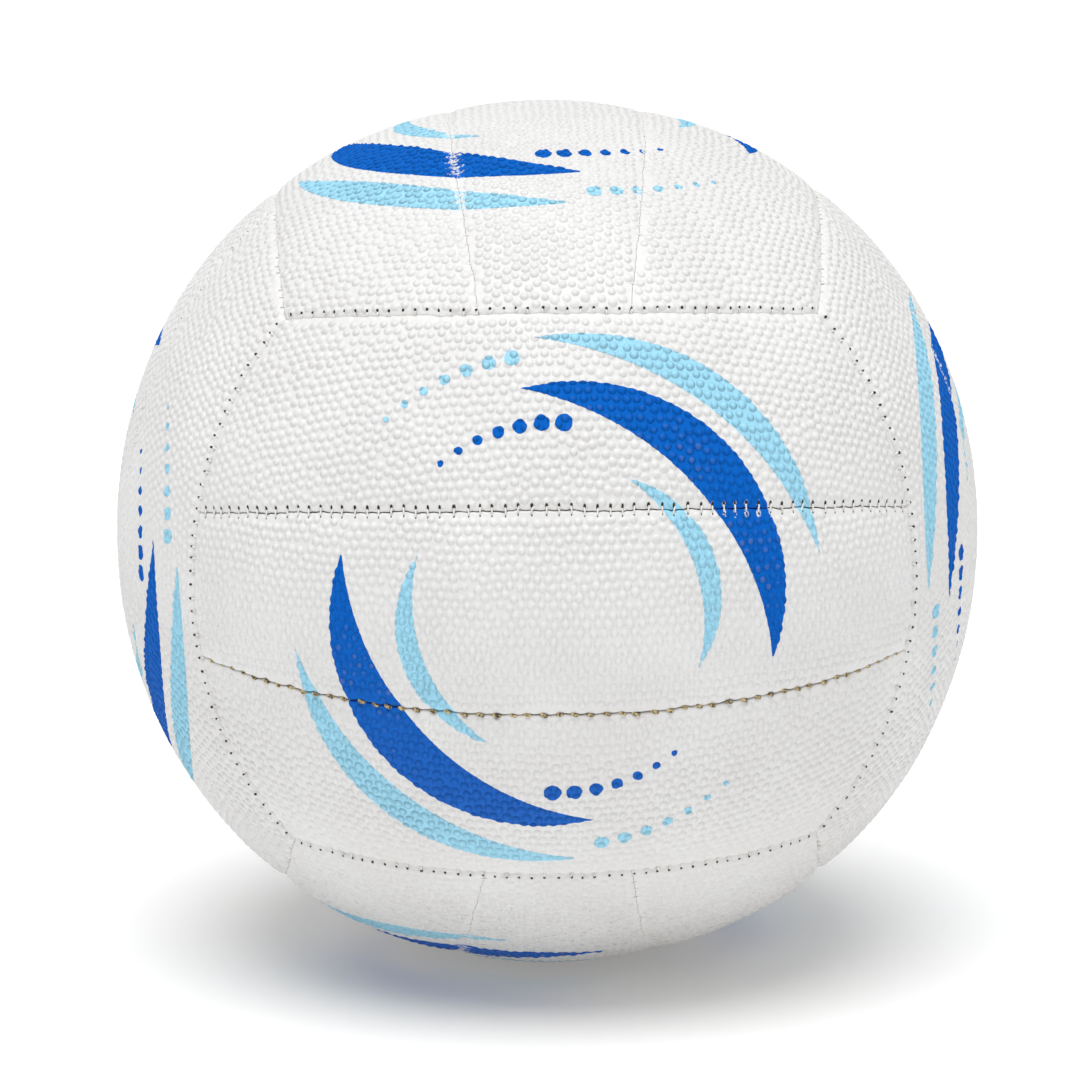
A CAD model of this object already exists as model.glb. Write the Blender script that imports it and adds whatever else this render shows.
"""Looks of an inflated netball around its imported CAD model.

The 18 cover panels are rebuilt as pebbled sheets that roll down into their seams, and the seam
threads as stitches laced through holes on both sides. Linings, bladder and valve stay CAD solids.
All sizes are in metres. The origin is the ball's centre and the front face looks along -Y.
"""

import math

import bpy
import numpy as np
from mathutils import Matrix, Vector


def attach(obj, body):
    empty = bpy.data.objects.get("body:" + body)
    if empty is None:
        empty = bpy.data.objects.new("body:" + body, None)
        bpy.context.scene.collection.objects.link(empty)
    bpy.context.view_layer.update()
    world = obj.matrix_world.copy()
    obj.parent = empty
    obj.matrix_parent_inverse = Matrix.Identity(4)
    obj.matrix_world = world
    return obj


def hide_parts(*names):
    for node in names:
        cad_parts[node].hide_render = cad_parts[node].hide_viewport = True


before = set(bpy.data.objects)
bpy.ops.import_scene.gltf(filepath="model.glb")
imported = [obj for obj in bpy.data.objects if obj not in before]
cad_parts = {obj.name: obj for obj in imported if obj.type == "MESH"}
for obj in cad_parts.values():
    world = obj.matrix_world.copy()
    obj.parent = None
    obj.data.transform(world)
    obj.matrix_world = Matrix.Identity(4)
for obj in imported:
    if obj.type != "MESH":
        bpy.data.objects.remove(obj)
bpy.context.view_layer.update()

SEED = 18

# Sizes repeated from part.scad
RADIUS = 0.700 / (2 * math.pi)
FACE_ANGLE = math.radians(76)
STRIP_ANGLE = math.radians(25.8)
STRIP_END_ANGLE = math.radians(18.4)
COVER_T = 0.0014
HEM_T = 0.0012
HEM_IN = RADIUS - 0.0033
SEAM_GAP = 0.0003
VALVE_HOLE_R = 0.0031
VALVE_FACE = "back"

# An inflated ball of stitched panels stands out a little along its edges and corners
SQUARENESS = 0.026

# Grid of a panel's outer face: its spacing, and the distances of its finer rows from a seam
GRID = 0.00040
LACED_ROLL = 0.00062
LEAST_ROLL = 0.00014
EDGE_ROLL = 0.00040
TIGHT_GAP = 0.00002
EDGE_ROWS = TIGHT_GAP + 0.00098 * (1 - np.sin(np.radians([90, 70, 55, 42, 30, 15, 0])))

# A panel's inner face: its radius, its grid, its width and length, and its inset from the hem
INSIDE = RADIUS - COVER_T
INNER_GRID = 0.005
INNER_SIZE = (0.048, 0.190)
INNER_INSET = 0.002

# Pebbles embossed in the cover: how many either way in a loose lattice, its spacing, how far each
# one strays, how near two may come, and how often they are pushed apart
PEBBLE_COLUMNS, PEBBLE_ROWS = 48, 20
PEBBLE_PITCH = 0.00258
PEBBLE_STRAY = 0.36
PEBBLE_NEAREST = 0.94
PEBBLE_ROUNDS = 16
PEBBLE_FOOT = 0.00115
PEBBLE_HEIGHT = 0.00036
PEBBLE_RELIEF = 0.00038
FOOT_SHARES = (0.84, 1.06)
HEIGHT_SHARES = (0.72, 1.0)
SWELL = 0.12

# Distances from a seam and from the valve's hole over which the pebbles rise to full height
PEBBLE_CLEAR = (0.0008, 0.0017)
VALVE_CLEAR = (0.0016, 0.0026)

# Seams where the pebbles were pressed flatter: by what share, and how far from the seam
PRESSED = {"front_edge_-1": 0.55}
PRESSED_REACH = 0.013

# Seams: how far the cover dips towards them, and how the stitches pull it in
DIP_DEPTH = 0.00032
DIP_REACH = 0.0026
PILLOW_DEPTH = 0.00030
PILLOW_REACH = 0.0095
UNEVEN_DEPTH = 0.000014
UNEVEN_LENGTHS = (0.060, 0.014)
STITCH_PITCH = 0.0031
OPEN_PITCH = 0.0038
STITCH_UNEVEN = 0.07
PUCKER_DEPTH = 0.00028
PUCKER_REACH = 0.0013
SEAM_WAVE = 0.00015
BEAT_SHARE = 0.55
WANDER_SHARE = 0.9
CURVE_TERMS = 7
WANDER_LENGTHS = (0.060, 0.007)
UNEVEN_SEAM_LENGTHS = (0.020, 0.004)
PACE_LENGTHS = (0.040, 0.009)
SEAM_PULL_REACH = 0.0022
LACED_HOLE_AT = 0.00112
EDGE_HOLE_AT = 0.00132
SLOPE_DEPTH = 0.00048
SLOPE_REACH = 0.00150

# Seams between strips: half the open width of those that gape, and how worn each one is
OPEN_SEAM = "front_-1"
HALF_GAPS = {OPEN_SEAM: 0.00012, "front_1": 0.00006, "left_-1": 0.00004, "back_-1": 0.00006}
WEAR = {OPEN_SEAM: 0.25, "front_1": 1.0, "left_-1": 0.6, "back_-1": 0.8, "bottom_-1": 0.3, "bottom_1": 0.3}
LEAST_WEAR = 0.22
TIGHT_WEAR = 0.5
TIGHT_DIP = 0.7

# Faces round whose edges the needle's holes show, and how much
FACES_WITH_HOLES = ("front", "back", "left", "right")
EDGE_WEAR = 0.95

# A gaping seam closes, and its beads sink, towards its ends: where, as shares of its half length
GAP_ENDS = (0.74, 0.94)
GAP_CLOSING = 0.85
BEAD_ENDS = (0.72, 0.90)

THREAD_R = 0.00021
THREAD_SINK = 0.00020
BEAD_R = 0.00046
BEAD_SINK = 0.00040
THREAD_SIDES = 7

# Faces: directions along and across the strips and outwards, and the strips' names across
FACES = {
    "front": ((1, 0, 0), (0, 0, 1), (0, -1, 0), ("lower", "middle", "upper")),
    "back": ((-1, 0, 0), (0, 0, 1), (0, 1, 0), ("lower", "middle", "upper")),
    "left": ((0, 0, 1), (0, 1, 0), (-1, 0, 0), ("front", "middle", "rear")),
    "right": ((0, 0, 1), (0, -1, 0), (1, 0, 0), ("rear", "middle", "front")),
    "top": ((0, 1, 0), (-1, 0, 0), (0, 0, 1), ("right", "middle", "left")),
    "bottom": ((0, 1, 0), (1, 0, 0), (0, 0, -1), ("left", "middle", "right")),
}
SIDES = (-1, 0, 1)

# Seam planes, as in part.scad: |across| = c + k * outwards on a ball of radius one
CORNER = 1 / math.sqrt(3)
EDGE_K = (math.sin(FACE_ANGLE / 2) - CORNER) / (math.cos(FACE_ANGLE / 2) - CORNER)
EDGE_C = CORNER * (1 - EDGE_K)
END_P = math.sin(STRIP_END_ANGLE / 2)
END_A = 1 + EDGE_K**2
END_B = 2 * EDGE_C * EDGE_K
END_S = (-END_B + math.sqrt(END_B**2 - 4 * END_A * (EDGE_C**2 + END_P**2 - 1))) / (2 * END_A)
END_N = EDGE_C + EDGE_K * END_S
STRIP_K = (math.sin(STRIP_ANGLE / 2) - END_P) / (math.cos(STRIP_ANGLE / 2) - END_N)
STRIP_C = END_P - STRIP_K * END_N


def unit(vectors):
    return vectors / np.linalg.norm(vectors, axis=-1, keepdims=True)


def smooth_step(low, high, values):
    t = np.clip((values - low) / (high - low), 0, 1)
    return t * t * (3 - 2 * t)


def random_curve(rng, longest, shortest):
    """A smooth random curve with values of about -1 to 1."""
    turns = 2 * np.pi / np.geomspace(longest, shortest, CURVE_TERMS)
    phases = rng.uniform(0, 2 * np.pi, CURVE_TERMS)

    def curve(x):
        total = sum(np.sin(turn * x + phase) for turn, phase in zip(turns, phases))
        return total / math.sqrt(CURVE_TERMS / 2)

    return curve


# The needle's holes show on the side of a seam that lies this way
EDGE_HOLE_SIDE = np.array([0.0, 1.0, 0.0])
HOLE_SIDE = np.array([0.5, 0.3, 1.0])


class Seam:
    """One seam: the circle where a plane cuts the ball, and how it is sewn."""

    def __init__(self, name, along, across, outwards, c, k, half_s, laced):
        self.name = name
        self.laced = laced
        self.normal = unit(across - k * outwards)
        self.level = c / math.sqrt(1 + k * k)
        self.circle_r = math.sqrt(1 - self.level**2)
        self.middle = unit(outwards - (outwards @ self.normal) * self.normal)
        self.tangent = along
        self.half_length = math.asin(half_s / self.circle_r) * self.circle_r * RADIUS
        rng = np.random.default_rng([SEED, sum(map(ord, name)), len(name)])
        self.wander = random_curve(rng, *WANDER_LENGTHS)
        self.uneven = random_curve(rng, *UNEVEN_SEAM_LENGTHS)
        self.pace = random_curve(rng, *PACE_LENGTHS)
        self.pitch = OPEN_PITCH if name == OPEN_SEAM else STITCH_PITCH
        least = LEAST_WEAR if laced or not name.startswith(FACES_WITH_HOLES) else EDGE_WEAR
        self.wear = WEAR.get(name, least)
        tight = laced and self.wear < TIGHT_WEAR and name != OPEN_SEAM
        self.roll = LEAST_ROLL if tight else (LACED_ROLL if laced else EDGE_ROLL)
        self.dip = TIGHT_DIP if tight else 1.0
        self.hole_way = -1 if self.normal @ (HOLE_SIDE if laced else EDGE_HOLE_SIDE) < 0 else 1

    def distance(self, points):
        """Distance over the ball from the seam, above zero where its normal points."""
        return (np.arcsin(np.clip(points @ self.normal, -1, 1)) - math.asin(self.level)) * RADIUS

    def along(self, points):
        """Distance along the seam from its middle."""
        turn = np.arctan2(points @ self.tangent, points @ self.middle)
        return turn * self.circle_r * RADIUS

    def beat(self, along):
        """Stitches from the seam's middle."""
        return along / self.pitch + STITCH_UNEVEN * self.pace(along)

    def stitch(self, number):
        """Distance along the seam at which a stitch lies."""
        at = number * self.pitch
        for _ in range(4):
            at = at + (number - self.beat(at)) * self.pitch
        return at

    def pulled(self, along):
        """From 0 between two stitches to 1 at one."""
        return (0.5 + 0.5 * np.cos(2 * np.pi * self.beat(along))) ** 1.5

    def wave(self, along):
        """How far the seam's line wanders to where its normal points."""
        wander = self.wander(along)
        wobble = BEAT_SHARE * np.sin(2 * np.pi * self.beat(along) + wander)
        return SEAM_WAVE * (wobble + WANDER_SHARE * wander)

    def varied(self, along, share, most):
        """A factor that changes along the seam, and strays from 1 by no more than most."""
        return np.clip(1 + share * self.uneven(along), 1 - most, 1 + most)

    def half_gap(self, along):
        """Half the open width beyond a tight seam's."""
        closed = smooth_step(*GAP_ENDS, np.abs(along) / self.half_length)
        width = HALF_GAPS.get(self.name, 0.0) * (1 - GAP_CLOSING * closed)
        return width * self.varied(along, 0.3, 0.8)

    def point(self, along, across, depth):
        """Places at a distance along and across the seam and above the ball's surface."""
        turn = along / (self.circle_r * RADIUS)
        cos, sin = self.circle_r * np.cos(turn)[:, None], self.circle_r * np.sin(turn)[:, None]
        base = self.level * self.normal + cos * self.middle + sin * self.tangent
        side = unit(self.normal - (base @ self.normal)[:, None] * base)
        lean = (across + self.wave(along)) / RADIUS
        direction = np.cos(lean)[:, None] * base + np.sin(lean)[:, None] * side
        return (RADIUS + depth)[:, None] * direction


def make_seams():
    """The 24 seams: for each face, its two long edges and its two inner seams."""
    found = []
    for face, (*ways, _) in FACES.items():
        s, p, n = np.array(ways, float)
        for side in (-1, 1):
            edge = Seam(f"{face}_edge_{side}", s, side * p, n, EDGE_C, EDGE_K, CORNER, False)
            strip = Seam(f"{face}_{side}", s, side * p, n, STRIP_C, STRIP_K, END_S, True)
            found += [edge, strip]
    return {seam.name: seam for seam in found}


SEAMS = make_seams()


def borders_of(face, side):
    """The seams round one panel, two along it and two across its ends, each with 1 where the
    panel lies below its plane, else -1."""
    s, _, n = np.array(FACES[face][:3], float)
    if side == 0:
        found = [(SEAMS[f"{face}_1"], 1), (SEAMS[f"{face}_-1"], 1)]
    else:
        found = [(SEAMS[f"{face}_edge_{side}"], 1), (SEAMS[f"{face}_{side}"], -1)]
    edges = [seam for seam in SEAMS.values() if not seam.laced]
    for end in (-1, 1):
        normal = unit(n - end * EDGE_K * s)
        found += [(seam, -1) for seam in edges if seam.normal @ normal > 0.9999]
    return found


def moved(c, k, inset, radius):
    """The plane p = c + k * n moved by inset, with the ball of this radius as the unit."""
    q = math.hypot(1, k)
    return q * (c / q * RADIUS + inset) / radius


def moved_over(c, k, distance):
    """The plane p = c + k * n, moved by a distance measured over the ball."""
    q = math.hypot(1, k)
    return q * np.sin(math.asin(c / q) + distance / RADIUS)


def row_planes(side):
    """The planes of a panel's low and high borders."""
    inner, outer = np.array([(STRIP_C, STRIP_K), (EDGE_C, EDGE_K)])
    return {-1: (-outer, -inner), 0: (-inner, inner), 1: (inner, outer)}[side]


def rows_between(low, high, count):
    """Planes from low to high that are evenly spaced where they cross the face's middle."""
    ends = [math.asin(c / math.hypot(1, k)) + math.atan(k) for c, k in (low, high)]
    angles = np.linspace(*ends, count)
    wide = np.subtract(high, low)
    blend = np.sin(angles) - low[1] * np.cos(angles) - low[0]
    blend /= wide[0] + wide[1] * np.cos(angles)
    return list(low + blend[:, None] * wide)


def on_ball(rows, ends, count):
    """Points of the ball of radius one where row planes meet columns. ends holds the levels of
    the outermost columns' planes, from the border inwards, and count even ones lie within."""
    lines = []
    for c, k in rows:
        q = math.hypot(1, k)
        h = c / q
        circle = math.sqrt(1 - h * h)
        size = circle * math.hypot(1 / q, EDGE_K)
        lean = math.atan2(EDGE_K, 1 / q)
        reach = np.arccos((np.asarray(ends) + h * k / q) / size) - lean
        even = np.linspace(-reach[-1], reach[-1], count)
        turns = np.concatenate([-reach[:-1], even, reach[-2::-1]])
        p = h / q + circle * np.cos(turns) * k / q
        n = -h * k / q + circle * np.cos(turns) / q
        lines.append(np.stack([circle * np.sin(turns), p, n], -1))
    return np.array(lines)


def odd(number):
    return int(number) // 2 * 2 + 1


def outer_grid(side):
    """The outer face's grid on the ball of radius one, and its columns' and rows' places."""
    (low_c, low_k), (high_c, high_k) = row_planes(side)
    width = FACE_ANGLE / 2 - STRIP_ANGLE / 2 if side else STRIP_ANGLE
    length = 2 * math.asin(END_S / math.sqrt(1 - (STRIP_C**2) / (1 + STRIP_K**2)))
    rim = EDGE_ROWS[-1]
    inner_rows = odd((width * RADIUS - 2 * rim) / GRID)
    inner_columns = odd((length * RADIUS - 2 * rim) / GRID)
    low = [(moved_over(low_c, low_k, d), low_k) for d in EDGE_ROWS]
    high = [(moved_over(high_c, high_k, -d), high_k) for d in EDGE_ROWS]
    rows = low[:-1] + rows_between(low[-1], high[-1], inner_rows) + high[-2::-1]
    ends = [moved_over(EDGE_C, EDGE_K, d) for d in EDGE_ROWS]
    points = on_ball(rows, ends, inner_columns)
    places = []
    for size, inner in ((length * RADIUS, inner_columns), (width * RADIUS, inner_rows)):
        even = np.linspace(rim, size - rim, inner)
        places.append(np.concatenate([EDGE_ROWS[:-1], even, size - EDGE_ROWS[-2::-1]]) / size)
    return points, *places


def ring_at(side, shape, inset, radius):
    """Unit vectors of a grid of this shape at an inset from the seams' planes and a radius."""
    (low_c, low_k), (high_c, high_k) = row_planes(side)
    low = (moved(low_c, low_k, inset, radius), low_k)
    high = (moved(high_c, high_k, -inset, radius), high_k)
    end = moved(EDGE_C, EDGE_K, inset, radius)
    return unit(on_ball(rows_between(low, high, shape[0]), [end], shape[1]))


def outline(grid):
    """The border of a grid in order, seen from outside: along, up, back and down."""
    return np.concatenate([grid[0, :-1], grid[:-1, -1], grid[-1, :0:-1], grid[:0:-1, 0]])


ROW_STEP = PEBBLE_PITCH * math.sqrt(3) / 2
NEIGHBOURS = [(dj, di) for dj in range(-2, 3) for di in range(-2, 3)]


def relaxed_pebbles(rng):
    """Pebble centres on a loose hexagonal lattice, pushed apart until few of them touch."""
    j = np.arange(-PEBBLE_ROWS, PEBBLE_ROWS + 1)[:, None]
    x = (np.arange(-PEBBLE_COLUMNS, PEBBLE_COLUMNS + 1) + 0.5 * (j % 2)) * PEBBLE_PITCH
    spots = np.stack([x, np.broadcast_to(j * ROW_STEP, x.shape)])
    spots += rng.uniform(-PEBBLE_STRAY, PEBBLE_STRAY, spots.shape) * PEBBLE_PITCH
    for _ in range(PEBBLE_ROUNDS):
        push = np.zeros_like(spots)
        for step in NEIGHBOURS:
            gap = spots - np.roll(spots, step, (1, 2))
            apart = np.hypot(*gap) + 1e-9
            push += 0.25 * np.clip(PEBBLE_NEAREST * PEBBLE_PITCH - apart, 0, None) / apart * gap
        spots += push
    return spots


FAR = 99.0
GROUND = RADIUS - PEBBLE_HEIGHT
UNEVEN = list(
    zip(
        unit(np.random.default_rng(SEED).normal(size=(9, 3))),
        2 * np.pi / np.geomspace(*UNEVEN_LENGTHS, 9),
        np.random.default_rng(SEED + 1).uniform(0, 2 * np.pi, 9),
    )
)


class Pebbles:
    """The pebbles of one panel, laid out over a chart along the middle of its strip."""

    def __init__(self, face, side, borders, basis):
        self.tilt = side * (FACE_ANGLE + STRIP_ANGLE) / 4
        rng = np.random.default_rng([SEED, sum(map(ord, face)), side + 1])
        self.x, self.y = relaxed_pebbles(rng)
        self.foot = PEBBLE_FOOT * rng.uniform(*FOOT_SHARES, self.x.shape)
        height = PEBBLE_HEIGHT * rng.uniform(*HEIGHT_SHARES, self.x.shape)
        centres = self.points(self.x, self.y) @ basis
        nearest = np.min([-way * seam.distance(centres) for seam, way in borders], axis=0)
        self.height = height * smooth_step(*PEBBLE_CLEAR, nearest)
        swell = [np.sin(centres @ way * RADIUS * turns + phase) for way, turns, phase in UNEVEN[:4]]
        self.height *= 1 - SWELL + SWELL * np.mean(swell, axis=0)
        for seam, _ in borders:
            near = np.exp(-((seam.distance(centres) / PRESSED_REACH) ** 2))
            self.height *= 1 - PRESSED.get(seam.name, 0.0) * near
        if face == VALVE_FACE and side == 0:
            from_valve = np.hypot(self.x, self.y) - VALVE_HOLE_R
            self.height *= smooth_step(*VALVE_CLEAR, from_valve)

    def points(self, x, y):
        """Unit vectors in the face's frame at places of the chart."""
        turn, rise = x / RADIUS, y / RADIUS
        s, p, n = np.sin(turn) * np.cos(rise), np.sin(rise), np.cos(turn) * np.cos(rise)
        cos, sin = math.cos(self.tilt), math.sin(self.tilt)
        return np.stack([s, p * cos + n * sin, n * cos - p * sin], -1)

    def read(self, points):
        """The pebbles' height and, for the nearest one, how far off its middle is, as a share of
        its foot's radius, and its height as a share of the highest."""
        cos, sin = math.cos(self.tilt), math.sin(self.tilt)
        s, p, n = points.T
        p, n = p * cos - n * sin, n * cos + p * sin
        x, y = np.arctan2(s, n) * RADIUS, np.arcsin(p) * RADIUS
        j = np.rint(y / ROW_STEP).astype(int)
        i = np.rint(x / PEBBLE_PITCH - 0.5 * (j % 2)).astype(int)
        found = np.zeros(len(points))
        nearest = np.full(len(points), FAR)
        share = np.zeros(len(points))
        squeeze = np.sqrt(1 - p * p)
        for dj, di in NEIGHBOURS:
            at_j = np.clip(j + dj + PEBBLE_ROWS, 0, 2 * PEBBLE_ROWS)
            at_i = np.clip(i + di + PEBBLE_COLUMNS, 0, 2 * PEBBLE_COLUMNS)
            gap_x = (x - self.x[at_j, at_i]) * squeeze
            gap_y = y - self.y[at_j, at_i]
            height = self.height[at_j, at_i]
            t2 = (gap_x**2 + gap_y**2) / self.foot[at_j, at_i] ** 2
            found = np.maximum(found, height * np.clip(1 - t2, 0, None) ** 1.1)
            closer = t2 < nearest
            nearest = np.where(closer, t2, nearest)
            share = np.where(closer, height / PEBBLE_HEIGHT, share)
        return found, np.sqrt(nearest), share


def squared(points):
    """How far out the stitched ball stands in each direction, as a share of its radius."""
    return 1 + SQUARENESS * (1 - np.sum(points**4, axis=-1))


def dressed(points, borders, pebble_height):
    """Places of a panel's outer face for unit vectors in the ball's frame, and seam readings."""
    shift = np.zeros_like(points)
    drop, roll, rolled, ground = np.zeros((4, len(points)))
    off_dip, off_pillow = np.ones((2, len(points)))
    readings = []
    for seam, way in borders:
        away = -way * seam.distance(points)
        along = seam.along(points)
        side = unit(seam.normal - (points @ seam.normal)[:, None] * points)
        near = np.exp(-((away / SEAM_PULL_REACH) ** 2))
        move = (seam.wave(along) - way * seam.half_gap(along)) * near
        shift += move[:, None] * side
        over = np.clip((seam.roll + TIGHT_GAP - away) / seam.roll, 0, 1) ** 2
        rolled = np.maximum(rolled, seam.roll * (over > 0))
        roll += over
        off_dip *= 1 - seam.dip * np.exp(-((away / DIP_REACH) ** 2))
        off_pillow *= 1 - np.exp(-((away / PILLOW_REACH) ** 2))
        if not seam.laced and way * seam.hole_way < 0:
            slope = np.clip(1 - away / SLOPE_REACH, 0, 1) ** 1.3
            drop += SLOPE_DEPTH * slope * seam.varied(along, 0.3, 0.5)
        pucker = PUCKER_DEPTH * seam.dip * seam.pulled(along) * seam.varied(along, 0.35, 0.6)
        drop += pucker * np.exp(-((away / PUCKER_REACH) ** 2))
        readings.append((away, along, seam, way))
    drop += DIP_DEPTH * (1 - off_dip) + PILLOW_DEPTH * (1 - off_pillow)
    drop += rolled * (1 - np.sqrt(1 - np.clip(roll, 0, 1)))
    for direction, turns, phase in UNEVEN:
        ground += UNEVEN_DEPTH * (np.sin(points @ direction * RADIUS * turns + phase) - 0.35)
    radius = (GROUND + np.minimum(ground, 0) - drop + pebble_height) * squared(points)
    return radius[:, None] * unit(points + shift / RADIUS), readings


def seam_reading(readings):
    """For the nearer of two seams: stitches along it, millimetres from it, and the share of its
    holes that shows, plus 2 if it is laced."""
    rows = []
    for away, along, seam, way in readings:
        shows = 1.0 if way * seam.hole_way < 0 else (0.6 if seam.laced else 0.0)
        kind = 0.0 if seam.name == OPEN_SEAM else shows * seam.wear + 2 * seam.laced
        rows.append(np.stack([seam.beat(along), away * 1000, np.full(len(away), kind)], -1))
    return np.where((readings[0][0] < readings[1][0])[:, None], *rows)


# The print, in millimetres and degrees: moons as outer and inner radius, width, reach and heading,
# rows of dots as radius, first and last direction, count and size, and each face's turn
DARK_PRINT = ([(52, 78, 13, 58, 42)], [(46, 88, 128, 7, 2.2)])
LIGHT_PRINT = ([(60, 90, 8.5, 70.5, 52), (30, 44, 5.5, 40, 20)], [(63, 100, 132, 7, 2.0)])
PRINT_TURN = {"front": 0, "back": 90, "left": 180, "right": 0, "top": 90, "bottom": 180}
DOTS_SHRINK = 0.62
INKS_APART = 0.9


def moon(x, y, outer, inner, width, reach, heading):
    """Distance into a moon between an outer and a wider inner circle. Where it heads, it has
    this width and its back lies at reach from the face's middle."""
    turn = math.radians(heading)
    ahead = x * math.cos(turn) + y * math.sin(turn)
    aside = y * math.cos(turn) - x * math.sin(turn)
    within = outer - np.hypot(ahead - (reach - outer), aside)
    beyond = np.hypot(ahead - (reach - width - inner), aside) - inner
    return np.minimum(within, beyond)


def dot_row(x, y, radius, first, last, count, size):
    """Distance into a row of shrinking dots along an arc round the face's middle."""
    found = np.full(x.shape, -FAR)
    for i, turn in enumerate(np.linspace(math.radians(first), math.radians(last), count)):
        dot = size * (1 - DOTS_SHRINK * i / (count - 1))
        gap = np.hypot(x - radius * math.cos(turn), y - radius * math.sin(turn))
        found = np.maximum(found, dot - gap)
    return found


def ink(face, points):
    """Millimetres into the dark and the light ink of a face, above zero inside the print."""
    s, p, n = points.T
    reach = np.arctan2(np.hypot(s, p), n) * RADIUS * 1000 / np.maximum(np.hypot(s, p), 1e-9)
    turn = math.radians(PRINT_TURN[face])
    x = reach * (s * math.cos(turn) + p * math.sin(turn))
    y = reach * (p * math.cos(turn) - s * math.sin(turn))
    inks = []
    for moons, dots in (DARK_PRINT, LIGHT_PRINT):
        marks = [moon(flip * x, flip * y, *sizes) for flip in (1, -1) for sizes in moons]
        marks += [dot_row(flip * x, flip * y, *sizes) for flip in (1, -1) for sizes in dots]
        inks.append(np.max(marks, axis=0))
    dark, light = inks
    return dark, np.minimum(light, -INKS_APART - dark)


def quads_between(low, high):
    """Quads from one closed ring of vertices to the next, which has as many."""
    return np.stack([low, high, np.roll(high, -1), np.roll(low, -1)], -1)


def grid_quads(index):
    """Quads of a grid of vertex numbers, facing outwards."""
    parts = [index[:-1, :-1], index[:-1, 1:], index[1:, 1:], index[1:, :-1]]
    return np.stack([part.ravel() for part in parts], -1)


def split_along_level(quads, places):
    """The same quads, each starting at a corner from which its diagonal rises least."""
    height = np.linalg.norm(places, axis=1)[quads]
    rise = np.abs(height[:, 0] - height[:, 2]) > np.abs(height[:, 1] - height[:, 3])
    return np.where(rise[:, None], np.roll(quads, 1, axis=1), quads)


def bridge(outer, outer_at, inner, inner_at):
    """Triangles between two rings of different counts, whose vertices lie at places of 0 up to 1
    round them."""
    outer_at, inner_at = np.append(outer_at, (1, 2)), np.append(inner_at, (1, 2))
    found = []
    a = b = 0
    while a < len(outer) or b < len(inner):
        here = outer[a % len(outer)], inner[b % len(inner)]
        if outer_at[a + 1] <= inner_at[b + 1]:
            a += 1
            found.append((*here, outer[a % len(outer)]))
        else:
            b += 1
            found.append((*here, inner[b % len(inner)]))
    return np.array(found)


def ring_places(shape):
    """Places of a grid's border vertices round it, with each side a quarter."""
    rows, columns = shape
    counts = enumerate((columns, rows, columns, rows))
    return np.concatenate([(side + np.arange(n - 1) / (n - 1)) / 4 for side, n in counts])


def without_block(shape, half):
    """Which of a grid's quads lie outside a square in its middle, and the square's vertices."""
    row, column = shape[0] // 2, shape[1] // 2
    kept = np.ones((shape[0] - 1, shape[1] - 1), bool)
    kept[row - half : row + half, column - half : column + half] = False
    block = slice(row - half, row + half + 1), slice(column - half, column + half + 1)
    return kept.ravel(), block


class Sheet:
    """Vertices and faces of one mesh, with a map that lays its parts out side by side."""

    def __init__(self):
        self.places = []
        self.flat = []
        self.faces = []
        self.count = 0

    def add(self, places, flat=None):
        """Adds vertices with their places on the map, if any, and returns their numbers."""
        numbers = self.count + np.arange(len(places))
        self.places.append(places)
        self.flat.append(np.zeros((len(places), 2)) if flat is None else flat)
        self.count += len(places)
        return numbers

    def face(self, corners, flat=None):
        """Adds faces, with their corners' places on the map if not their vertices' own."""
        self.faces.append((corners, flat))

    def build(self, name, material):
        places = np.concatenate(self.places)
        flat = np.concatenate(self.flat)
        mesh = bpy.data.meshes.new(name)
        mesh.vertices.add(len(places))
        mesh.vertices.foreach_set("co", places.ravel())
        loops = np.concatenate([corners.ravel() for corners, _ in self.faces])
        counts = np.concatenate([np.full(len(c), c.shape[1]) for c, _ in self.faces])
        mesh.loops.add(len(loops))
        mesh.loops.foreach_set("vertex_index", loops.astype(np.int32))
        mesh.polygons.add(len(counts))
        starts = np.concatenate([[0], np.cumsum(counts)[:-1]])
        mesh.polygons.foreach_set("loop_start", starts.astype(np.int32))
        mesh.update(calc_edges=True)
        mesh.shade_smooth()
        chart = [(flat[corners] if own is None else own).ravel() for corners, own in self.faces]
        layer = mesh.uv_layers.new(name="OFBake")
        layer.data.foreach_set("uv", np.concatenate(chart))
        mesh.materials.append(material)
        thing = bpy.data.objects.new(name, mesh)
        bpy.context.collection.objects.link(thing)
        return thing


def set_attribute(thing, name, values):
    """Stores one number or vector for each vertex, with zeros past their end."""
    whole = np.zeros((len(thing.data.vertices),) + values.shape[1:])
    whole[: len(values)] = values
    kind, field = ("FLOAT", "value") if values.ndim == 1 else ("FLOAT_VECTOR", "vector")
    layer = thing.data.attributes.new(name, kind, "POINT")
    layer.data.foreach_set(field, whole.ravel().astype(np.float32))


# A cover's map: bands for the halves of its outer face, for its hems and for its inner face, and
# what the inner face's grid takes of its band
MAP_EDGE = 0.004
HALF_BANDS = ((0.004, 0.470), (0.480, 0.946))
HEM_BANDS = ((0.953, 0.961), (0.964, 0.970), (0.973, 0.979))
INNER_BAND = (0.982, 0.996)
INNER_PART = ((0.02, 0.98), (0.1, 0.9))


def band_map(at, up, band):
    """Places on a band of the map for places of 0 to 1 along and across it."""
    low, high = band
    at, up = np.broadcast_arrays(at, up)
    return np.stack([MAP_EDGE + at * (1 - 2 * MAP_EDGE), low + up * (high - low)], -1)


# The valve's hole: half the width of the square of quads that it replaces, the rings round it,
# and how far and how deep its edge rolls down
VALVE_BLOCK = 11
VALVE_RINGS = 9
VALVE_ROLL = (0.0007, 0.0006)


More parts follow.
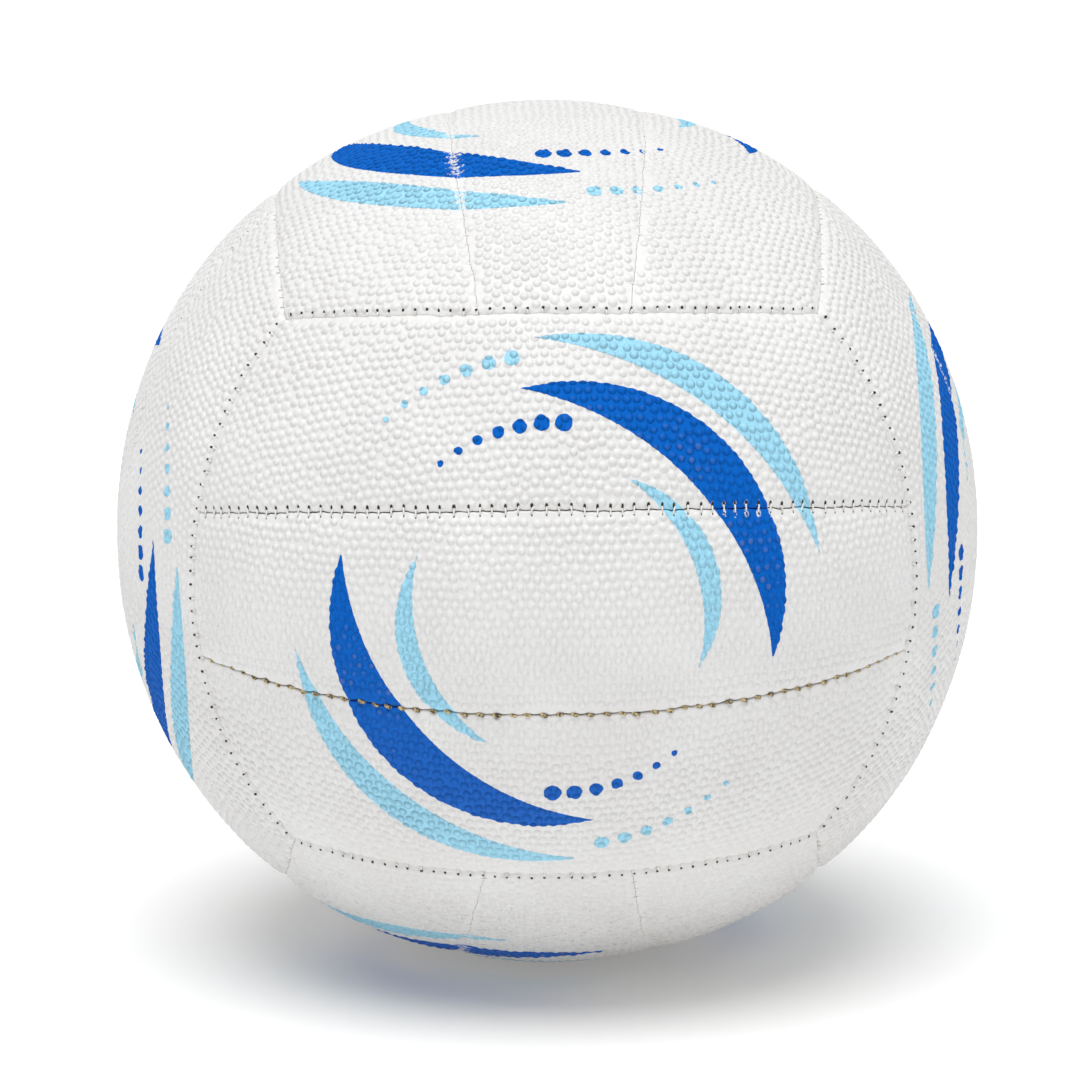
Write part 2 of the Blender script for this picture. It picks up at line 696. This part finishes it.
def valve_ring(points, index, across, up):
    """Rings from a square block of the grid to the valve's hole: their unit vectors, places
    along and across the panel, the block's border, and the quads outside it."""
    kept, block = without_block(index.shape, VALVE_BLOCK)
    border = outline(index[block])
    flat = points[border, :2] * RADIUS / points[border, 2:]
    rim = unit(flat) * VALVE_HOLE_R
    shares = np.linspace(0, 1, VALVE_RINGS + 1)[1:, None, None] ** 0.8
    spots = flat + shares * (rim - flat)
    rings = unit(np.concatenate([spots, np.full_like(spots[..., :1], RADIUS)], -1))
    steps = np.ptp([across[border], up[border]], axis=1) / np.ptp(flat, axis=0)
    along, upward = np.moveaxis(0.5 + spots * steps, -1, 0)
    return rings, along, upward, border, kept


def make_cover(face, side, material):
    """One cover panel: pebbled outer face, hems turned in along its seams, and inner face."""
    *ways, names = FACES[face]
    basis = np.array(ways, float)
    borders = borders_of(face, side)
    pebbles = Pebbles(face, side, borders, basis)
    grid, columns_at, rows_at = outer_grid(side)
    shape = grid.shape[:2]
    index = np.arange(shape[0] * shape[1]).reshape(shape)
    points = grid.reshape(-1, 3)
    across, up = (at.ravel() for at in np.meshgrid(columns_at, rows_at))
    quads = grid_quads(index)
    with_valve = face == VALVE_FACE and side == 0
    if with_valve:
        rings, ring_across, ring_up, border, kept = valve_ring(points, index, across, up)
        numbers = len(points) + np.arange(rings[..., 0].size).reshape(rings.shape[:2])
        steps = zip([border, *numbers], numbers)
        collar = [quads_between(outer, inner)[:, ::-1] for outer, inner in steps]
        quads = np.concatenate([quads[kept], *collar])
        points = np.concatenate([points, rings.reshape(-1, 3)])
        across = np.concatenate([across, ring_across.ravel()])
        up = np.concatenate([up, ring_up.ravel()])

    height, spot, share = pebbles.read(points)
    places, readings = dressed(points @ basis, borders, height)
    if with_valve:
        from_hole = np.hypot(points[:, 0], points[:, 1]) * RADIUS - VALVE_HOLE_R
        roll = np.clip(1 - from_hole / VALVE_ROLL[0], 0, 1)
        places -= unit(places) * (VALVE_ROLL[1] * (1 - np.sqrt(1 - roll**2)))[:, None]
    sheet = Sheet()
    sheet.add(places)
    quads = split_along_level(quads, places)
    second = across[quads].mean(axis=1) > 0.5
    for half, band in enumerate(HALF_BANDS):
        chosen = quads[second == half]
        sheet.face(chosen, band_map(across[chosen] * 2 - half, up[chosen], band))

    at = ring_places(shape)
    ends = np.append(at[1:], 1)
    last = outline(index)
    hem = SEAM_GAP / 2 + HEM_T
    rims = ((SEAM_GAP / 2, HEM_IN), (hem, HEM_IN), (hem, INSIDE))
    for band, (inset, radius) in zip(HEM_BANDS, rims):
        ring = outline(ring_at(side, shape, inset, radius)) @ basis
        ring_now = sheet.add(radius * squared(ring)[:, None] * ring, band_map(at, 1, band))
        spans = np.stack([at, at, ends, ends], -1)
        sheet.face(quads_between(last, ring_now), band_map(spans, np.array([0, 1, 1, 0]), band))
        last = ring_now

    inner_shape = (odd(INNER_SIZE[0] / INNER_GRID), odd(INNER_SIZE[1] / INNER_GRID))
    inner = ring_at(side, inner_shape, hem + INNER_INSET, INSIDE).reshape(-1, 3) @ basis
    inner_at = [np.linspace(*part, n) for part, n in zip(INNER_PART, inner_shape[::-1])]
    inner_map = band_map(*np.meshgrid(*inner_at), INNER_BAND).reshape(-1, 2)
    inner_index = sheet.add(INSIDE * squared(inner)[:, None] * inner, inner_map)
    border_map = np.zeros((sheet.count, 2))
    border_map[inner_index] = inner_map
    inner_index = inner_index.reshape(inner_shape)
    corners = np.array([(0, 0), (1, 0), (1, 1), (0, 1)])
    turns = np.minimum((at * 4).astype(int), 3)
    part = (at * 4 - turns)[:, None]
    rim = corners[turns] * (1 - part) + corners[(turns + 1) % 4] * part
    border_map[last] = band_map(rim[:, 0], rim[:, 1], INNER_BAND)
    triangles = bridge(last, at, outline(inner_index), ring_places(inner_shape))
    sheet.face(triangles, border_map[triangles])
    inner_quads = grid_quads(inner_index)[:, ::-1]
    if with_valve:
        kept, block = without_block(inner_shape, 1)
        inner_quads = inner_quads[kept]
        middle = band_map(np.full(len(rings[-1]), 0.5), 0.5, INNER_BAND)
        foot = sheet.add(INSIDE * (rings[-1] @ basis), middle)
        sheet.face(quads_between(numbers[-1], foot)[:, ::-1])
        foot_at = ring_places((2 * VALVE_BLOCK + 1, 2 * VALVE_BLOCK + 1))
        sheet.face(bridge(outline(inner_index[block]), ring_places((3, 3)), foot, foot_at))
    sheet.face(inner_quads, border_map[inner_quads])

    name = f"{face}_{names[side + 1]}"
    cover = sheet.build(f"panel_{name}", material)
    dark, light = ink(face, points)
    set_attribute(cover, "ink", np.stack([dark, light, np.zeros_like(dark)], -1))
    set_attribute(cover, "pebble_spot", spot)
    set_attribute(cover, "pebble_height", share)
    set_attribute(cover, "long_seam", seam_reading(readings[:2]))
    set_attribute(cover, "end_seam", seam_reading(readings[2:]))
    set_attribute(cover, "outside", np.ones(len(points)))
    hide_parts(f"cover_{name}")
    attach(cover, "root")


# One stitch, in millimetres: how far across its seam and how high over the cover's ground
LACED_PATH = [
    (-0.90, -1.60), (-0.86, -0.60), (-0.72, -0.27), (-0.40, -0.20), (0.00, -0.24),
    (0.40, -0.20), (0.72, -0.27), (0.86, -0.60), (0.90, -1.60), (0.00, -2.00),
]
EDGE_PATH = [
    (0.00, -1.90), (0.02, -0.95), (0.12, -0.66), (0.55, -0.40),
    (0.92, -0.40), (1.06, -0.80), (1.08, -1.60), (0.60, -2.00),
]

# A gaping seam shows its thread only inside: how far along, across and deep one stitch runs
OPEN_PATH = [
    (-1.00, -0.50, -2.10), (-0.86, -0.32, -1.40), (-0.50, -0.05, -0.66), (0.00, 0.12, -0.50),
    (0.50, 0.24, -0.62), (0.86, 0.45, -1.30), (1.00, 0.55, -2.10),
]

# Stitches differ in lean, width and depth, and end short of a corner. Their maps lie apart.
STITCH_LEAN = 0.14
STITCH_SPREAD = 0.05
STITCH_DEEP = 0.00003
STITCH_END = 0.0022
BAND_EDGE = 0.006


def thread_tube(centres, ways, thickness):
    """Rings of vertices of a round thread along a line of points."""
    run = unit(np.gradient(centres, axis=0))
    first = unit(ways - np.sum(ways * run, axis=1, keepdims=True) * run)
    second = np.cross(run, first)
    turns = np.arange(THREAD_SIDES) * 2 * np.pi / THREAD_SIDES
    cos, sin = np.cos(turns)[:, None], np.sin(turns)[:, None]
    return centres[:, None] + thickness * (first[:, None] * cos + second[:, None] * sin)


def add_stitches(sheet, seam, band, bands):
    """Adds the stitches of one seam to a mesh, on its own band of the map."""
    rng = np.random.default_rng([SEED + 5, sum(map(ord, seam.name)), len(seam.name)])
    gapes = seam.name == OPEN_SEAM
    count = int((seam.half_length - STITCH_END) / seam.pitch)
    line = []
    for at in seam.stitch(np.arange(-count, count + 1.0)):
        lean = rng.normal(0, STITCH_LEAN)
        spread = 1 + rng.normal(0, STITCH_SPREAD)
        if gapes:
            path = np.array(OPEN_PATH) * 0.001 * (spread, 1, 1)
            path[:, 2] -= BEAD_SINK * smooth_step(*BEAD_ENDS, abs(at) / seam.half_length)
        else:
            path = np.array(LACED_PATH if seam.laced else EDGE_PATH) * 0.001
            path *= (spread * (1 if seam.laced else seam.hole_way), 1)
            path = np.column_stack([lean * path[:, 0], path])
            path[-1, 0] += STITCH_PITCH / 2
        line.append(path + (at, 0, rng.normal(0, STITCH_DEEP)))
    along, across, depth = np.concatenate(line).T
    thickness = BEAD_R if gapes else THREAD_R
    dip = DIP_DEPTH + PILLOW_DEPTH + PEBBLE_HEIGHT - thickness + THREAD_SINK * (1 - seam.wear)
    centres = seam.point(along, across, depth - dip)
    centres *= squared(unit(centres))[:, None]
    turn = along / (seam.circle_r * RADIUS)
    ways = np.cos(turn)[:, None] * seam.tangent - np.sin(turn)[:, None] * seam.middle
    if gapes:
        ways = unit(centres)
    rings = thread_tube(centres, ways, thickness)
    rows = len(rings)
    at = np.linspace(MAP_EDGE, 1 - MAP_EDGE, rows)
    low, high = band / bands + BAND_EDGE, (band + 1) / bands - BAND_EDGE
    around = np.linspace(low, high, THREAD_SIDES + 1)
    numbers = sheet.add(rings.reshape(-1, 3)).reshape(rows, THREAD_SIDES)
    a, b = numbers, np.roll(numbers, -1, axis=1)
    corners = np.stack([a[:-1], a[1:], b[1:], b[:-1]], -1)
    x = np.stack([at[:-1], at[1:], at[1:], at[:-1]], -1)[:, None]
    y = np.stack([around[:-1], around[:-1], around[1:], around[1:]], -1)
    sheet.face(corners.reshape(-1, 4), np.stack(np.broadcast_arrays(x, y), -1))
    for end, order in ((0, slice(None)), (-1, slice(None, None, -1))):
        middle = sheet.add(centres[end][None], np.full((1, 2), low))
        cap = numbers[end][order]
        corners = np.stack([cap, np.roll(cap, -1), np.full(THREAD_SIDES, middle[0])], -1)
        sheet.face(corners, np.full((THREAD_SIDES, 3, 2), low))


def make_threads(name, seams, material, node):
    """The stitches of some seams, in place of one CAD node."""
    sheet = Sheet()
    soiled = []
    for band, seam in enumerate(seams):
        add_stitches(sheet, seam, band, len(seams))
        soiled.append(np.full(sheet.count - sum(map(len, soiled)), float(seam.name == OPEN_SEAM)))
    thread = sheet.build(name, material)
    set_attribute(thread, "soiled", np.concatenate(soiled))
    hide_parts(node)
    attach(thread, "root")


class Nodes:
    """Short ways to place and link the nodes of one material."""

    def __init__(self, name):
        self.material = bpy.data.materials.new(name)
        self.material.use_nodes = True
        self.tree = self.material.node_tree
        self.shader = self.tree.nodes["Principled BSDF"]
        self.place = self.node("ShaderNodeTexCoord")["Object"]

    def link(self, source, target):
        if isinstance(source, (int, float)):
            target.default_value = source
        elif isinstance(source, tuple):
            target.default_value = (*source, 1.0)
        else:
            self.tree.links.new(source, target)

    def node(self, kind, inputs=None, **settings):
        """The outputs of a new node, with its inputs set or linked."""
        made = self.tree.nodes.new(kind)
        for key, value in settings.items():
            setattr(made, key, value)
        for key, value in (inputs or {}).items():
            self.link(value, made.inputs[key])
        return made.outputs

    def math(self, operation, *values):
        return self.node("ShaderNodeMath", dict(enumerate(values)), operation=operation)[0]

    def times(self, a, b):
        return self.math("MULTIPLY", a, b)

    def plus(self, a, b):
        return self.math("ADD", a, b)

    def minus(self, a, b):
        return self.math("SUBTRACT", a, b)

    def most(self, a, b):
        return self.math("MAXIMUM", a, b)

    def step(self, low, high, value, a=0.0, b=1.0):
        """A smooth step of value from a at low to b at high."""
        inputs = dict(enumerate((value, low, high, a, b)))
        return self.node("ShaderNodeMapRange", inputs, interpolation_type="SMOOTHSTEP")[0]

    def mix(self, factor, a, b):
        return self.node("ShaderNodeMix", {0: factor, 6: a, 7: b}, data_type="RGBA")[2]

    def noise(self, scale, detail=2.0, roughness=0.5):
        sizes = {"Scale": scale, "Detail": detail, "Roughness": roughness}
        return self.node("ShaderNodeTexNoise", {"Vector": self.place, **sizes})["Fac"]

    def wave(self, axis, scale):
        inputs = {"Vector": self.place, "Scale": scale}
        return self.node("ShaderNodeTexWave", inputs, bands_direction=axis)["Fac"]

    def number(self, name):
        """A number stored at each vertex."""
        return self.node("ShaderNodeAttribute", attribute_name=name)["Fac"]

    def three(self, name):
        """The three numbers of a vector stored at each vertex."""
        return self.parts(self.node("ShaderNodeAttribute", attribute_name=name)["Vector"])

    def parts(self, vector):
        return self.node("ShaderNodeSeparateXYZ", {0: vector})

    def bump(self, height, distance, strength=1.0):
        inputs = {"Strength": strength, "Distance": distance, "Height": height}
        self.link(self.node("ShaderNodeBump", inputs)[0], self.shader.inputs["Normal"])

    def finish(self, colour, roughness, **plain):
        self.link(colour, self.shader.inputs["Base Color"])
        self.link(roughness, self.shader.inputs["Roughness"])
        for name, value in plain.items():
            self.shader.inputs[name.replace("_", " ")].default_value = value
        return self.material


WHITE = (0.795, 0.795, 0.79)
WHITE_SHADE = (0.765, 0.76, 0.755)
SOIL = (0.34, 0.27, 0.19)
SEAM_LINE = (0.17, 0.12, 0.10)
HOLE = (0.045, 0.03, 0.022)
DARK_INK = (0.0, 0.118, 0.53)
LIGHT_INK = (0.34, 0.675, 0.85)

# Needle holes: how far they are drawn out along the seam, how many millimetres wear and chance
# widen them, and by how much unworn ones are shut
HOLE_LENGTHS = (0.85, 0.55)
HOLE_WEAR = 0.46
HOLE_CHANCE = 0.12
HOLE_SHUT = 0.19


def seam_marks(made, name, chance):
    """Needle holes of a seam, its dark line where it is worn, and where ink has come off."""
    stitch, away, kind = made.three(name)
    laced = made.math("GREATER_THAN", kind, 1.5)
    shows = made.minus(kind, made.times(laced, 2.0))
    hole_at = made.step(0.0, 1.0, laced, EDGE_HOLE_AT * 1000, LACED_HOLE_AT * 1000)
    across = made.times(made.math("PINGPONG", stitch, 0.5), STITCH_PITCH * 1000)
    off = made.times(made.minus(away, hole_at), made.step(0.0, 1.0, laced, *HOLE_LENGTHS))
    far = made.plus(made.times(across, across), made.times(off, off))
    size = made.plus(made.times(shows, HOLE_WEAR), made.times(chance, HOLE_CHANCE))
    size = made.minus(made.minus(size, HOLE_SHUT), made.math("SQRT", far))
    line = made.times(made.step(0.02, 0.14, away, 0.5, 0.0), made.times(shows, laced))
    near = made.step(0.30, 0.60, made.plus(far, made.times(shows, 0.25)), 1.0, 0.0)
    band = made.times(made.step(0.6, 1.3, away, 1.0, 0.0), made.step(0.26, 0.36, shows, 1.0, 0.0))
    return made.step(-0.06, 0.08, size), line, made.times(made.most(near, band), laced)


def soiling(made, dome):
    """Soil on the pebbles in blotches and where the ball has rested, and a film low down."""
    height = made.parts(made.place)[2]
    blotches = made.times(made.step(0.58, 0.72, made.noise(24, 1)), 0.22)
    rested = made.step(-0.055, -0.100, height, 0.0, 0.55)
    soil = made.times(made.most(blotches, rested), made.step(0.35, 0.8, dome))
    soil = made.times(soil, made.step(0.40, 0.62, made.noise(340, 1)))
    return made.most(soil, made.step(0.010, -0.095, height, 0.0, 0.085))


def cover_material():
    """Pebbled synthetic leather: a white skin, ink whose edges follow the pebbles, soil, and
    needle holes."""
    made = Nodes("pebbled_leather")
    from_middle = made.number("pebble_spot")
    within = made.most(made.minus(1.0, made.times(from_middle, from_middle)), 0.0)
    dome = made.times(made.number("pebble_height"), made.math("POWER", within, 0.8))
    blotch = made.noise(900, 2)
    colour = made.mix(made.step(0.35, 0.7, made.noise(38, 3)), WHITE_SHADE, WHITE)
    marks = [seam_marks(made, name, blotch) for name in ("long_seam", "end_seam")]
    holes, line, bare = [made.most(*pair) for pair in zip(*marks)]

    outside = made.number("outside")
    dark, light, _ = made.three("ink")
    ragged = made.minus(made.plus(made.times(dome, 0.20), made.times(blotch, 0.3)), 0.22)
    worn = made.times(made.step(0.44, 0.60, made.noise(1400, 2)), bare)
    sound = made.times(made.minus(1.0, worn), outside)
    layers = []
    for amount, tint in ((light, LIGHT_INK), (dark, DARK_INK)):
        layers.append(made.times(made.step(-0.06, 0.06, made.plus(amount, ragged)), sound))
        paler = tuple(min(1, 1.12 * value) for value in tint)
        colour = made.mix(layers[-1], colour, made.mix(made.step(0.45, 0.8, blotch), tint, paler))
    inked = made.most(*layers)
    colour = made.mix(soiling(made, dome), colour, SOIL)
    colour = made.mix(made.times(line, outside), colour, SEAM_LINE)
    colour = made.mix(holes, colour, HOLE)

    relief = made.minus(made.times(made.noise(5200, 3, 0.6), 0.08), made.times(holes, 0.6))
    dome = made.times(dome, made.plus(1.0, made.times(inked, 1.3)))
    made.bump(made.plus(dome, relief), PEBBLE_RELIEF)
    roughness = made.plus(made.step(0.2, 0.8, blotch, 0.26, 0.36), made.times(inked, 0.62))
    return made.finish(colour, roughness, Specular_IOR_Level=0.14)


def thread_material():
    """Polyester thread, lightly soiled where it lies low."""
    made = Nodes("seam_thread")
    soil = made.noise(700, 3)
    colour = made.mix(made.step(0.4, 0.75, soil), (0.84, 0.83, 0.80), (0.72, 0.69, 0.61))
    twist = made.noise(1500, 1)
    old = made.mix(made.step(0.32, 0.70, twist), (0.66, 0.53, 0.29), (0.06, 0.04, 0.02))
    colour = made.mix(made.number("soiled"), colour, old)
    made.bump(made.noise(6000, 2), 0.0001, 0.5)
    return made.finish(colour, made.step(0.3, 0.7, soil, 0.55, 0.75))


# How fine the cloth is woven
WEAVE = 560


def cloth_material(name, light, shade):
    """Plain woven cloth."""
    made = Nodes(name)
    weave = made.times(made.wave("X", WEAVE), made.wave("Z", WEAVE))
    weave = made.most(weave, made.wave("Y", WEAVE))
    colour = made.mix(made.step(0.1, 0.9, weave), shade, light)
    colour = made.mix(made.step(0.55, 0.8, made.noise(60, 3), 0.0, 0.25), colour, shade)
    made.bump(weave, 0.00015, 0.6)
    return made.finish(colour, made.step(0, 1, weave, 0.8, 0.95))


def rubber_material(name, light, shade, rough):
    """Moulded rubber with a dusty bloom."""
    made = Nodes(name)
    bloom = made.noise(120, 4)
    colour = made.mix(made.step(0.4, 0.75, bloom), shade, light)
    made.bump(made.noise(2600, 3), 0.00008, 0.4)
    return made.finish(colour, made.step(0.3, 0.8, bloom, rough, rough + 0.18))


def wear(nodes, material):
    """Gives CAD nodes a material."""
    for name in nodes:
        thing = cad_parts[name]
        if not thing.material_slots:
            thing.data.materials.append(material)
        for slot in thing.material_slots:
            slot.material = material


cover = cover_material()
for face in FACES:
    for side in SIDES:
        make_cover(face, side, cover)

thread = thread_material()
for face, (*_, names) in FACES.items():
    for side in (-1, 1):
        strip = f"{face}_{names[side + 1]}"
        edge = SEAMS[f"{face}_edge_{side}"]
        make_threads(f"stitches_{strip}", [edge], thread, f"edge_thread_{strip}")
    inner_seams = [SEAMS[f"{face}_-1"], SEAMS[f"{face}_1"]]
    make_threads(f"stitches_{face}", inner_seams, thread, f"strip_threads_{face}")

strips = [f"{face}_{name}" for face, (*_, names) in FACES.items() for name in names]
lining_cloth = cloth_material("lining_cloth", (0.72, 0.66, 0.54), (0.50, 0.44, 0.34))
wear([f"lining_{strip}" for strip in strips], lining_cloth)
wear(["valve_patch"], cloth_material("patch_cloth", (0.62, 0.54, 0.42), (0.42, 0.36, 0.27)))
wear(["bladder"], rubber_material("bladder_rubber", (0.055, 0.055, 0.058), (0.022, 0.022, 0.024), 0.55))
wear(["valve_housing"], rubber_material("valve_rubber", (0.035, 0.035, 0.037), (0.012, 0.012, 0.013), 0.38))
wear(["valve_core"], rubber_material("core_rubber", (0.10, 0.095, 0.09), (0.04, 0.038, 0.036), 0.45))


# The floor: half its size, its quads, its two near whites and its glow
FLOOR_REACH = 14.0
FLOOR_ROWS = 9
FLOOR_WHITES = ((0.90, 0.90, 0.90), (0.92, 0.92, 0.92))
FLOOR_GLOW = 0.13


def make_floor():
    """A wide pale floor that the ball stands on."""
    at = np.linspace(-FLOOR_REACH, FLOOR_REACH, FLOOR_ROWS)
    x, y = np.meshgrid(at, at)
    places = np.stack([x, y, np.full_like(x, -RADIUS)], -1).reshape(-1, 3)
    sheet = Sheet()
    sheet.add(places, (places[:, :2] / FLOOR_REACH + 1) / 2)
    sheet.face(grid_quads(np.arange(FLOOR_ROWS**2).reshape(FLOOR_ROWS, FLOOR_ROWS)))
    made = Nodes("studio_floor")
    colour = made.mix(made.step(0.3, 0.7, made.noise(3, 2)), *FLOOR_WHITES)
    glow = {"Emission_Color": (1, 1, 1, 1), "Emission_Strength": FLOOR_GLOW}
    sheet.build("floor", made.finish(colour, 0.7, Specular_IOR_Level=0.1, **glow))


def make_sun(rise, turn, spread, strength):
    """A broad far light: its height, its turn from straight in front and its width in degrees."""
    light = bpy.data.lights.new("overhead", "SUN")
    light.angle = math.radians(spread)
    light.energy = strength
    thing = bpy.data.objects.new("overhead", light)
    thing.rotation_euler = (math.radians(90 - rise), 0, math.radians(turn))
    bpy.context.collection.objects.link(thing)


def make_world(seen, shed):
    """A white studio: seen is its brightness in the picture and shed the light that it gives."""
    world = bpy.data.worlds.new("studio")
    bpy.context.scene.world = world
    world.use_nodes = True
    nodes, links = world.node_tree.nodes, world.node_tree.links
    background = nodes["Background"]
    background.inputs["Color"].default_value = (1, 1, 1, 1)
    path = nodes.new("ShaderNodeLightPath")
    mix = nodes.new("ShaderNodeMapRange")
    mix.inputs["To Min"].default_value = shed
    mix.inputs["To Max"].default_value = seen
    links.new(path.outputs["Is Camera Ray"], mix.inputs["Value"])
    links.new(mix.outputs[0], background.inputs["Strength"])


# Camera, from a fit of the seams' corners in the photograph
PHOTO_WIDTH = 1080
BALL_PIXELS = 431.0
BALL_AT = (547.2, 530.0)
CAMERA_DISTANCE = 10.4 * RADIUS
CAMERA_RISE = math.radians(10.7)
CAMERA_YAW = math.radians(-1.3)
CAMERA_ROLL = math.radians(-0.35)
SENSOR = 36.0


def make_camera():
    """The photograph's camera."""
    pixels = BALL_PIXELS * math.sqrt((CAMERA_DISTANCE / RADIUS) ** 2 - 1)
    data = bpy.data.cameras.new("camera")
    data.sensor_width = SENSOR
    data.lens = SENSOR * pixels / PHOTO_WIDTH
    data.clip_start = 0.01
    data.clip_end = 100
    camera = bpy.data.objects.new("camera", data)
    turn = Matrix.Rotation(CAMERA_YAW, 3, "Z")
    turn @= Matrix.Rotation(math.pi / 2 - CAMERA_RISE, 3, "X")
    turn @= Matrix.Rotation(CAMERA_ROLL, 3, "Z")
    per_pixel = CAMERA_DISTANCE / pixels
    right = (PHOTO_WIDTH / 2 - BALL_AT[0]) * per_pixel
    up = (BALL_AT[1] - PHOTO_WIDTH / 2) * per_pixel
    camera.matrix_world = turn.to_4x4()
    camera.location = turn @ Vector((right, up, CAMERA_DISTANCE))
    bpy.context.collection.objects.link(camera)
    bpy.context.scene.camera = camera


make_floor()
make_world(seen=1.3, shed=0.38)
make_sun(rise=77, turn=-8, spread=50, strength=2.75)
make_camera()
bpy.context.scene.view_settings.view_transform = "Standard"
